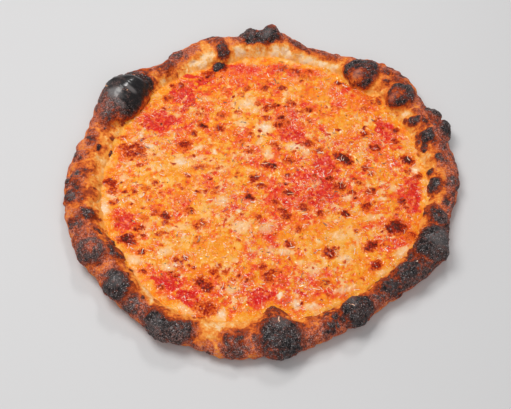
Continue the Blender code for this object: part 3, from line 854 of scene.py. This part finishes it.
# Bubbles that rose and scorched: x, y, radius in mm, and how dark the scorch is.
SCORCHES = (
    (91, 79, 6.0, 0.42), (-36, 114, 4.2, 1.0), (-45, 107, 4.4, 0.72), (-49, 53, 3.0, 0.85),
    (-56, 45, 2.6, 0.6), (-63, 34, 4.0, 0.75), (-35, 50, 2.8, 0.7), (-34, 64, 2.8, 0.55),
    (-51, 65, 2.6, 0.45), (-79, 81, 3.4, 0.7), (-75, 95, 2.5, 0.5), (-68, 95, 2.4, 0.7),
    (-13, 92, 2.2, 0.5), (2, 92, 3.2, 0.7), (-18, 86, 2.2, 0.4), (-4, 76, 2.4, 0.55),
    (-20, 67, 2.6, 0.45), (3, 61, 2.6, 0.65), (-10, 44, 2.7, 0.45), (-17, 37, 2.4, 0.5),
    (-11, 27, 3.0, 0.55), (-7, 1, 3.4, 0.82), (-52, 12, 2.9, 0.5), (-46, 13, 2.4, 0.4),
    (-37, 11, 2.4, 0.4), (-104, 28, 7.0, 0.62), (-112, 32, 3.5, 0.6), (-99, 24, 4.0, 0.6),
    (-114, 41, 2.8, 0.45), (-98, 14, 2.4, 0.4), (16, 92, 2.8, 0.75), (17, 114, 3.0, 0.6),
    (28, 110, 3.4, 0.7), (32, 106, 5.0, 0.35), (39, 110, 2.8, 0.55), (64, 97, 2.6, 0.7),
    (5, 72, 3.6, 0.7), (9, 73, 2.8, 0.6), (15, 61, 2.6, 0.75), (12, 54, 2.8, 0.72),
    (18, 56, 3.6, 0.5), (24, 76, 3.2, 0.55), (38, 69, 2.5, 0.7), (33, 68, 2.2, 0.5),
    (38, 58, 2.2, 0.5), (36, 35, 3.6, 0.7), (45, 28, 3.0, 0.75), (42, 40, 1.8, 0.5),
    (9, 34, 3.0, 0.45), (3, 14, 3.2, 0.8), (8, 12.5, 2.8, 0.8), (20, 18, 3.2, 0.65),
    (64, 20, 4.8, 0.98), (91, 30, 3.2, 0.7), (82, 44, 3.0, 0.72), (83, 71, 2.2, 0.45),
    (115, 18.5, 4.2, 0.92), (107, 48, 2.7, 0.7), (98, 49, 2.3, 0.6), (107, 37, 2.6, 0.7),
    (81, 11, 2.7, 0.62), (85, 5, 2.2, 0.6), (114, 8, 2.2, 0.55), (122, 3, 2.8, 0.7),
    (52, 1, 2.7, 0.65), (75, -3, 3.0, 0.5), (-120, -3, 4.0, 0.85), (-118, -11, 3.2, 0.65),
    (-116, -21, 2.8, 0.6), (-85, -3, 2.4, 0.55), (-92, -8, 2.6, 0.4), (-51, -11.5, 2.0, 0.75),
    (-45, -11, 2.2, 0.6), (-38, -11.5, 3.0, 0.4), (-1.5, -6, 2.8, 0.7), (-12, -16, 2.6, 0.8),
    (-9, -18, 2.4, 0.75), (-57, -29, 3.0, 0.6), (-49, -42, 4.0, 0.5), (-76, -34, 3.4, 0.85),
    (-75, -40, 2.4, 0.65), (-83, -30, 2.7, 0.55), (-92, -36, 2.4, 0.45), (-95, -45, 3.2, 0.65),
    (-104, -54, 4.2, 0.9), (-101, -57, 3.6, 0.75), (-92, -66, 2.4, 0.75), (-110, -37, 3.0, 0.4),
    (-79, -50, 2.2, 0.5), (-48, -54, 2.2, 0.45), (-51, -57, 2.2, 0.45), (-59, -71, 2.4, 0.7),
    (-65, -73, 2.3, 0.62), (-62, -79, 2.2, 0.5), (-90, -83, 2.4, 0.62), (-70, -85, 2.8, 0.6),
    (-66, -88, 2.6, 0.6), (-76, -96, 2.2, 0.55), (-44, -94, 5.0, 0.82), (-42, -114, 6.2, 0.62),
    (-37, -83, 2.7, 0.65), (-28, -83, 2.3, 0.65), (-34, -78, 2.2, 0.5), (-34, -88, 2.2, 0.5),
    (-5, -35, 3.0, 0.5), (-1, -79, 2.6, 0.65), (4, -85, 3.6, 0.65), (4, -90, 3.0, 0.6),
    (13, -91, 2.2, 0.45), (19.5, -13, 3.2, 0.72), (9, -22, 2.8, 0.6), (15.5, -30, 3.2, 0.72),
    (18, -35, 2.8, 0.72), (31, -26, 3.6, 0.7), (43, -31, 2.7, 0.65), (36, -18, 1.8, 0.5),
    (27, -46, 2.8, 0.55), (60, -7, 4.2, 0.75), (70, -12, 2.2, 0.65), (84, -11, 3.6, 0.62),
    (63, -32, 2.8, 0.85), (79.5, -25, 3.6, 0.75), (108, -21, 3.0, 0.7), (104, -27.5, 1.6, 0.65),
    (114, -13, 2.6, 0.5), (111, -26, 2.0, 0.45), (102, -44, 6.0, 0.88), (97, -46, 3.6, 0.8),
    (112, -52, 4.2, 0.5), (19, -59, 3.2, 0.62), (50, -67, 4.4, 0.7), (81, -61, 4.2, 0.85),
    (84, -78, 3.8, 0.72), (45, -93, 3.6, 0.42),
)
SMALL_SCORCHES = 260
SCORCH_SIZES = (0.7, 1.7)
SCORCH_CHARS = (0.3, 0.75)
SCORCH_FIELD = 116
# Pools of plain pale cheese: x, y, half length, half width, direction in degrees, strength.
CREAM_POOLS = (
    (-12, 76, 8, 5, 20, 0.8), (-17, 55, 5, 4, 0, 0.8), (-6, 69, 5, 3, 40, 0.6),
    (1, 50, 7, 5, 20, 1.0), (-66, 17, 5, 4, 0, 0.95), (-51, 21, 8, 3, 0, 0.8),
    (-53, 31, 7, 1.6, 25, 0.8), (-94, 33, 7, 1.8, -12, 1.2), (-98, 44, 5, 1.4, 75, 0.9),
    (-39, 27, 2.6, 1.6, 90, 1.3), (-43, 38, 4, 1, -60, 0.9), (-110, 2, 4, 3, 0, 0.7),
    (-32, 11, 6, 5, 0, 0.6), (-71, 63, 3, 2.5, 90, 0.7), (-47, 81, 6, 3, 0, 0.6),
    (-22, 63, 3, 2.5, 0, 0.5), (27, 32, 9, 4, 10, 0.9), (4, 25, 6, 3.5, -50, 0.8),
    (35, 25, 3, 4, 0, 0.7), (45, 58, 4, 3, 0, 0.5), (63, 47, 2.5, 1.5, 70, 0.8),
    (120, 9, 4, 3, 0, 0.9), (-123, -27, 4, 6, 0, 1.0), (-118, -16, 5, 2.5, -20, 0.8),
    (-103, -19, 4, 1.6, -40, 0.8), (-90, -44, 4, 5, 0, 0.7), (-96, -73, 6, 4, -10, 0.9),
    (-75, -66, 6, 4, 0, 0.65), (-63, -44, 5, 4, 0, 0.55), (-66, -77, 3, 2, 90, 1.3),
    (-71, -79, 5, 4, 0, 0.7), (-17, -43, 8, 5, 0, 0.75), (-32, -20, 6, 4.5, 20, 0.75),
    (-19, -30, 2.2, 1.6, 90, 1.2), (-24, -99, 6, 3, 10, 0.7), (-21, -73, 2.2, 2, 0, 0.8),
    (-57, -115, 6, 2.4, -25, 0.6), (-31, -119, 4, 5, 0, 0.9), (66, -17, 5, 3, 10, 0.8),
    (93, -18, 4, 2, 0, 0.8), (102, -8, 4, 4, 0, 0.75), (44, -7, 4, 6, 0, 0.65),
    (60, -72, 5, 4, 0, 0.8), (16, -66, 7, 3, 0, 0.8), (4, -65, 6, 3.5, 0, 0.6),
    (37, -81, 5, 6, 0, 0.7), (83, -36, 6, 3, 10, 0.65), (57, -52, 8, 4, 0, 0.6),
    (104, -66, 6, 3.5, 35, 0.9), (60, -98, 9, 3, 15, 0.8), (35, -112, 6, 3, 0, 0.9),
    (24, -111, 3, 4, 0, 0.9), (12, -103, 3, 1.8, 70, 1.2), (42, -57, 3.5, 1.6, -40, 0.9),
    (2, -45, 6, 6, 0, 0.65), (28, -76, 5, 3, 0, 0.6), (88, -84, 6, 3, 30, 0.6),
)
# Strokes of red where little cheese lies over the sauce, as above.
RED_STROKES = (
    (-59, 104.5, 9, 1.8, -8, 1.0), (-48, 99, 2.6, 1.6, 0, 0.9), (-66, 88, 6, 2.2, -25, 1.0),
    (-61, 82, 7, 1.5, 65, 0.9), (-75, 87, 4, 2.4, 0, 0.8), (-95, 57, 5.5, 2.2, 70, 1.0),
    (-79, 56, 5, 2, 0, 1.0), (-87, 50.5, 5.5, 2.2, -15, 1.0), (-26, 116, 7, 2, 0, 0.8),
    (103, 47, 6, 3.5, 60, 0.9), (22, 43, 10, 1.6, 0, 0.85), (33, 37, 5, 1.4, -50, 0.85),
    (43, 14, 9, 1.3, 75, 0.7), (69, 19, 9, 1.3, -75, 0.7), (50, 46, 8, 1.3, -60, 0.7),
    (-84, -31, 3, 2.4, 0, 0.8), (-111, -38, 6, 2.4, 90, 0.8), (-103, -44, 4, 4, 0, 0.6),
    (-75, -92, 10, 3, -30, 1.0), (-57, -106, 9, 3.4, -55, 1.0), (-22, -26, 3, 1.8, 0, 0.7),
    (-30, -41, 5, 1.6, 90, 0.6), (120, -2, 7, 2, 80, 1.0), (119, -14, 8, 2.6, 100, 1.0),
    (118, -27, 5, 2, 60, 0.9), (-4, -106, 6, 4, 0, 0.9), (6, -102, 4, 1.8, 0, 0.8),
    (27, -101, 8, 1.8, -30, 0.7), (54, -22, 6, 3, 0, 0.5), (24, -10, 8, 2, 0, 0.5),
    (-52, 2, 2, 4, 0, 0.5),
)
# Calm golden stretches, where the cheese lies smooth under oil: x, y, half width, half height.
CALM = (
    (-66, 7, 14, 8), (-27, 43, 9, 6), (45, 86, 20, 9), (62, 58, 15, 8), (24, 98, 12, 7),
    (0, 102, 12, 6), (66, 42, 7, 9), (-40, -66, 24, 12), (-50, -84, 13, 4), (-62, -16, 12, 6),
    (-100, -26, 8, 7), (48, -52, 22, 14), (72, -36, 14, 7), (76, -88, 14, 5), (36, -106, 16, 5),
    (72, -70, 12, 9), (16, -52, 9, 7), (96, 18, 8, 8), (-60, 63, 6, 6), (-22, 107, 24, 7),
    (76, 76, 12, 10),
)
# Tint from cream (0) to red (1): of the plain sheet, and its change at the rim and over bare sauce.
PLAIN_TINT = 0.41
RIM_TINT = -0.20
BARE_TINT = 0.28
# The sheet: steps of its grid, and in mm its reach, the film on the rim, how far film, sheet and bare
# patches sink at their ends, and how softly film and sheet meet.
CHEESE_STEPS = 312
CHEESE_REACH = FOOT_RADIUS + 10.0
FILM_THICKNESS = 0.3
FILM_SINKS = 1.8
SHEET_SINKS = 1.6
BARE_SINKS = 1.5
SOFT_BEND = 1.4

CHEESE_TONES = (
    (0.0, (0.92, 0.45, 0.10)),
    (0.14, (0.91, 0.38, 0.040)),
    (0.28, (0.90, 0.30, 0.016)),
    (0.42, (0.89, 0.215, 0.010)),
    (0.54, (0.86, 0.145, 0.014)),
    (0.66, (0.83, 0.090, 0.020)),
    (0.80, (0.78, 0.045, 0.014)),
    (0.95, (0.68, 0.014, 0.008)),
)
CREAM = colour(0.91, 0.54, 0.25)
SAUCE_RED = colour(0.70, 0.016, 0.014)
POOL = colour(0.91, 0.54, 0.27)
POOL_MIDDLE = colour(0.92, 0.73, 0.54)
PINK_VEIL = colour(0.90, 0.35, 0.21)
CRUMB = colour(0.92, 0.62, 0.49)
# Near-white flecks: partly crumbs of hard cheese, partly painted glints.
FLECK_AND_PAINTED_GLINT = colour(0.95, 0.86, 0.80)
SCORCH_RING = colour(0.80, 0.13, 0.012)
SCORCH_BROWN = colour(0.43, 0.020, 0.004)
SCORCH_BLACK = colour(0.09, 0.014, 0.007)

melted, place = new_finish("melted_cheese")
curds = place.grain(0.9, 3.0, 0.6, 2.0) + place.grain(2.8, 3.0, 0.6, 6.0) * 1.6
# The hollows between curds and clumps are pushed towards red and darker tones: painted shade in the
# creases.
painted_hollow_shade = (1.3 - curds) * 0.66 + (0.5 - mark(place, "clump")) * 0.6
mottle = place.stir(1.3, 16.0, 3.0, 0.6) + place.stir(1.5, 6.0, 3.0, 0.6, 13.0)
calm = mark(place, "calm")
cream = mark(place, "cream")
lively = 1.0 - calm * 0.6
heat = mark(place, "blush") + mottle * lively + painted_hollow_shade * lively - cream * 0.24 + 0.01
cool = 1.0 - heat.between(0.42, 0.58)
creamy = place.grain(7.0, 4.0, 0.6, 71.0).between(0.54, 0.65) * cool * (1.0 - calm)
red = (mark(place, "red") + place.stir(0.9, 1.8, 4.0, 0.65, 33.0)).between(0.36, 0.62)
cream = cream + place.stir(1.3, 3.5, 5.0, 0.7, 43.0) * cream.between(0.0, 0.3)
grainy = mark(place, "milky") * 0.7 + place.stir(1.8, 12.0, 3.0, 0.6, 61.0) + 0.38
veil = place.grain(3.0, 4.0, 0.7, 17.0).between(0.54, 0.64) * grainy.between(0.3, 0.8) * (1.0 - calm)
crumbs = place.grain(1.5, 3.0, 0.65, 27.0).between(0.58, 0.64) * grainy.between(0.4, 0.8)
# Pale flecks over the sheet: partly cheese crumbs, partly painted glints.
fleck_and_glint_share = grainy.between(0.2, 0.6) * 0.75 + 0.25
flecks_and_painted_glints = place.grain(1.1, 2.0, 0.6, 57.0).between(0.635, 0.67) * fleck_and_glint_share
scorch = mark(place, "scorch")
uneven = place.stir(1.8, 1.5, 3.0, 0.65, 23.0) + place.stir(0.9, 4.0, 2.0, 0.5, 37.0)
scorch = scorch + uneven * scorch.between(0.0, 0.3)
cheese_colour = heat.pick(CHEESE_TONES)
for amount, shade in (
    (creamy * 0.85, CREAM),
    (red * 0.92, SAUCE_RED),
    (cream.between(0.20, 0.90) * 0.85, POOL),
    (cream.between(0.70, 1.20) * 0.85, POOL_MIDDLE),
    (veil * 0.55, PINK_VEIL),
    (crumbs * 0.8, CRUMB),
    (flecks_and_painted_glints, FLECK_AND_PAINTED_GLINT),
    (scorch.between(0.03, 0.32) * 0.85, SCORCH_RING),
    (scorch.between(0.30, 0.66), SCORCH_BROWN),
    (scorch.between(0.62, 0.96), SCORCH_BLACK),
):
    cheese_colour = amount.blend(cheese_colour, shade)
cheese_values = {
    "Base Color": cheese_colour,
    "Specular IOR Level": 0.05,
    "Roughness": 0.4,
    "Coat Weight": place.grain(1.2, 2.0, 0.55, 44.0).between(0.57, 0.65),
    "Coat Roughness": 0.08,
    "Coat IOR": 1.7,
    "Normal": bumps(curds + crumbs * 0.4, 0.85, 0.0007),
}
close_finish(place, cheese_values)

radius, angle, x, y = round_grid(CHEESE_STEPS, CHEESE_REACH)
flat = np.zeros_like(x)
level = cheese_level(x, y) + 0.35 * lumps(x, y, flat, 4.0, 70.0)
stray = layered(x, y, flat, (1.3, 3.5, 100.0), (0.7, 1.5, 104.0))
drift = layered(x, y, flat, (1.3, 3.5, 110.0), (0.7, 1.5, 114.0))

# Small scorches lie where the draw puts them; each one, large or small, leans and stretches a little.
scorch = np.zeros_like(x)
domes = np.zeros_like(x)
draw = np.random.default_rng(11)
spots = [(cx, cy, size, dark, 0.32 * size) for cx, cy, size, dark in SCORCHES]
while len(spots) < len(SCORCHES) + SMALL_SCORCHES:
    cx, cy = draw.uniform(-118, 118, 2)
    if math.hypot(cx, cy) < SCORCH_FIELD:
        size = draw.uniform(*SCORCH_SIZES)
        spots.append((cx, cy, size, draw.uniform(*SCORCH_CHARS), 0.25 * size))
for cx, cy, size, dark, rise in spots:
    near = np.hypot(x - cx, y - cy) < 3.0 * size + 2.0
    lean = draw.uniform(-0.7, 0.7)
    longer = draw.uniform(1.0, 1.5)
    right, up = x[near] - cx + stray[near], y[near] - cy + drift[near]
    along = (right * math.cos(lean) + up * math.sin(lean)) / longer
    across = (up * math.cos(lean) - right * math.sin(lean)) * longer**0.6
    away = np.hypot(along, across) / size
    scorch[near] = np.maximum(scorch[near], dark * smooth(-away, -1.9, -0.4))
    domes[near] = np.maximum(domes[near], rise * np.clip(1.0 - away**2, 0.0, 1.0) ** 0.8)


def sheet_reach(ragged, cx, cy, half_length, half_width, direction=0.0):
    """How far each point of the sheet lies from a spot on it, 1 being the spot's border."""
    lean = math.radians(direction)
    right, up = x - cx + ragged * stray, y - cy + ragged * drift
    along = right * math.cos(lean) + up * math.sin(lean)
    across = up * math.cos(lean) - right * math.sin(lean)
    return np.hypot(along / half_length, across / half_width)


blush = np.full_like(x, PLAIN_TINT)
for *spot, change in TINTS:
    blush += change * np.exp(-(sheet_reach(0.0, *spot) ** 2))
blush += RIM_TINT * smooth(radius, FOOT_RADIUS - 3.0, FOOT_RADIUS + 5.0)
parted = into_window(x, y)
blush += BARE_TINT * smooth(parted, -1.6, -0.9)
cream, red, milky = np.zeros_like(x), np.zeros_like(x), np.zeros_like(x)
for spread, patches in ((cream, CREAM_POOLS), (red, RED_STROKES)):
    for *spot, strength in patches:
        np.maximum(spread, strength * smooth(-sheet_reach(1.0, *spot), -1.9, -0.2), out=spread)
for *spot, strength in MILKY:
    milky = np.maximum(milky, strength * np.exp(-(sheet_reach(0.0, *spot) ** 2)))
calm = 0.5 * smooth(radius, FOOT_RADIUS - 9.0, FOOT_RADIUS - 2.0)
for spot in CALM:
    calm = np.maximum(calm, 0.9 * smooth(-sheet_reach(2.0, *spot), -1.3, -0.4))

# The sheet laps a little way up the rim as a film with a torn edge, hugs the dough there, and dips
# under the sauce where it has parted.
slope = real_height(radius, slope_height(radius), angle)
torn = layered(x, y, flat, (3.4, 13.0, 80.0), (1.4, 4.0, 90.0))
hugging = np.clip(crust_over_slope(radius, angle), -2.5, 0.8)
run_out = smooth(radius + torn, FOOT_RADIUS + 4.5, FOOT_RADIUS + 9.5)
film = slope + hugging + FILM_THICKNESS - FILM_SINKS * run_out
top = level + domes - SHEET_SINKS * smooth(radius, FOOT_RADIUS + 4.0, FOOT_RADIUS + 7.0)
share = np.clip(0.5 + 0.5 * (film - top) / SOFT_BEND, 0.0, 1.0)
top = top + (film - top) * share + SOFT_BEND * share * (1.0 - share)
top -= BARE_SINKS * smooth(smooth(parted, -1.1, -0.7), 0.35, 0.9)

cheese_sizes = {"Clump size": 4.5, "Clump height": 2.8, "Curd size": 1.8, "Curd height": 1.0}
cheese_inputs = {**cheese_sizes, "Finish": melted}
melt, given = growth_tree("melted_clumps", cheese_inputs)
start = given["Geometry"]
spot = start.add("GeometryNodeInputPosition", {}, {}).scaled(1.0 / MM)
clump = spot.grain(given["Clump size"])
curd = spot.stir(given["Curd height"], given["Curd size"])
rise = ((clump - 0.5) * given["Clump height"] + curd) * held_value(start, "loose") * MM
offset = start.add("ShaderNodeCombineXYZ", {}, {"Z": rise})
body = start.add("GeometryNodeSetPosition", {}, {"Geometry": start, "Offset": offset})
close_tree(store_value(body, "clump", clump, "POINT"), given)

cheese_marks = {
    "blush": blush,
    "scorch": scorch,
    "milky": milky,
    "cream": cream,
    "red": red,
    "calm": calm,
    "loose": 1.0 - 0.7 * smooth(radius, FOOT_RADIUS - 4.0, FOOT_RADIUS + 4.0),
    "strewn": 1.0 - smooth(radius, FOOT_RADIUS - 2.0, FOOT_RADIUS + 3.0),
}
cheese_mesh = sheet_mesh("cheese_sheet", x, y, top, CHEESE_LOW, cheese_marks)
cheese = grown("cheese_sheet", cheese_mesh, melt, cheese_inputs)
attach(cheese, "root")
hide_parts("melted_cheese")

# ----------------------------------------------------------------------------------- grated cheese
# Strands of hard cheese grated over the top, thin as string. Most have sunk half into the melted
# sheet and keep their pale colour, and a few have browned.

SQUARE_CM_IN_A_METRE = 10000.0

strand, place = new_finish("grated_cheese")
tint = mark(place, "tint")
strand_colour = tint.between(0.1, 0.8).blend(colour(0.92, 0.74, 0.60), colour(0.92, 0.46, 0.24))
strand_colour = tint.between(0.86, 0.90).blend(strand_colour, colour(0.24, 0.13, 0.10))
strand_values = {"Base Color": strand_colour, "Roughness": 0.35 + tint * 0.1, "Specular IOR Level": 0.4}
close_finish(place, strand_values)


def strewing_tree(name, crumb, inputs, spread):
    """A tree that strews copies of a unit-sized crumb over the cheese and, thinly, over the rim."""
    tree, given = growth_tree(name, inputs)
    start = given["Geometry"]
    rim = start.add("GeometryNodeObjectInfo", {}, {"Object": given["Rim"]}, "Geometry")
    join = tree.nodes.new("GeometryNodeJoinGeometry")
    tree.links.new(rim.socket, join.inputs[0])
    tree.links.new(start.socket, join.inputs[0])
    both = Wire(tree, join.outputs[0])
    share = (held_value(start, "milky") * spread + 1.0) * held_value(start, "strewn")
    density = share * given["Per square cm"] * SQUARE_CM_IN_A_METRE
    points = start.add(
        "GeometryNodeDistributePointsOnFaces",
        {"distribute_method": "RANDOM"},
        {"Mesh": both, "Density": density, "Seed": given["Seed"]},
        "Points",
    )

    def drawn(low, high, seed, kind="FLOAT"):
        """A value drawn for each copy."""
        feeds = {"Min": low, "Max": high, "Seed": seed}
        return start.add("FunctionNodeRandomValue", {"data_type": kind}, feeds)

    lie = drawn((-0.2, -0.2, 0.0), (0.2, 0.2, 2 * math.pi), 1, "FLOAT_VECTOR")
    thick = drawn(0.5, 1.5, 2) * given["Thickness"] * MM
    long = drawn(0.5, 1.6, 4) * given["Length"] * MM
    scale = start.add("ShaderNodeCombineXYZ", {}, {"X": long, "Y": thick, "Z": thick})
    feeds = {"Points": points, "Instance": crumb(start), "Rotation": lie, "Scale": scale}
    body = start.add("GeometryNodeInstanceOnPoints", {}, feeds)
    body = store_value(body, "tint", drawn(0.0, 1.0, 3), "INSTANCE")
    body = start.add("GeometryNodeRealizeInstances", {}, {"Geometry": body})
    spot = start.add("GeometryNodeInputPosition", {}, {})
    bend = start.add("ShaderNodeTexNoise", {}, {"Vector": spot, "Scale": 300.0, "Detail": 1.0}, "Color")
    bend = bend.vector("SUBTRACT", (0.5, 0.5, 0.5)).scaled(given["Wriggle"] * MM)
    bend = bend.vector("MULTIPLY", (1.0, 1.0, 0.2))
    body = start.add("GeometryNodeSetPosition", {}, {"Geometry": body, "Offset": bend})
    close_tree(body, given)
    return tree


def strand_shape(wire):
    """A straight strand, one unit long and one thick, in five short lengths."""
    ends = {"Start": (-0.5, 0.0, 0.0), "End": (0.5, 0.0, 0.0)}
    line = wire.add("GeometryNodeCurvePrimitiveLine", {}, ends)
    line = wire.add("GeometryNodeResampleCurve", {}, {"Curve": line, "Count": 6})
    ring = wire.add("GeometryNodeCurvePrimitiveCircle", {}, {"Resolution": 4, "Radius": 0.5}, "Curve")
    feeds = {"Curve": line, "Profile Curve": ring, "Fill Caps": True}
    return wire.add("GeometryNodeCurveToMesh", {}, feeds)


strand_sizes = {"Per square cm": 1.6, "Length": 3.6, "Thickness": 0.52, "Wriggle": 3.6, "Seed": 3}
strand_inputs = {**strand_sizes, "Rim": crust, "Finish": strand}
strewing = strewing_tree("strewn_strands", strand_shape, strand_inputs, 1.6)
strands = grown("grated_cheese", cheese.data.copy(), strewing, strand_inputs)
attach(strands, "root")

# ------------------------------------------------------------------------------------- dark specks
# Flakes of dried oregano and cracked pepper strewn over the pizza and baked almost black. They lie
# flat on the cheese, with a few on the rim.

herb, place = new_finish("dried_herb")
herb_colour = mark(place, "tint").blend(colour(0.05, 0.028, 0.014), colour(0.16, 0.085, 0.035))
close_finish(place, {"Base Color": herb_colour, "Roughness": 0.7, "Specular IOR Level": 0.3})


def flake_shape(wire):
    """A rounded flake of one unit."""
    return wire.add("GeometryNodeMeshIcoSphere", {}, {"Radius": 0.5, "Subdivisions": 2}, "Mesh")


speck_sizes = {"Per square cm": 0.9, "Length": 0.85, "Thickness": 0.5, "Wriggle": 0.6, "Seed": 8}
speck_inputs = {**speck_sizes, "Rim": crust, "Finish": herb}
strewing = strewing_tree("strewn_specks", flake_shape, speck_inputs, 0.6)
specks = grown("dark_specks", cheese.data.copy(), strewing, speck_inputs)
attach(specks, "root")
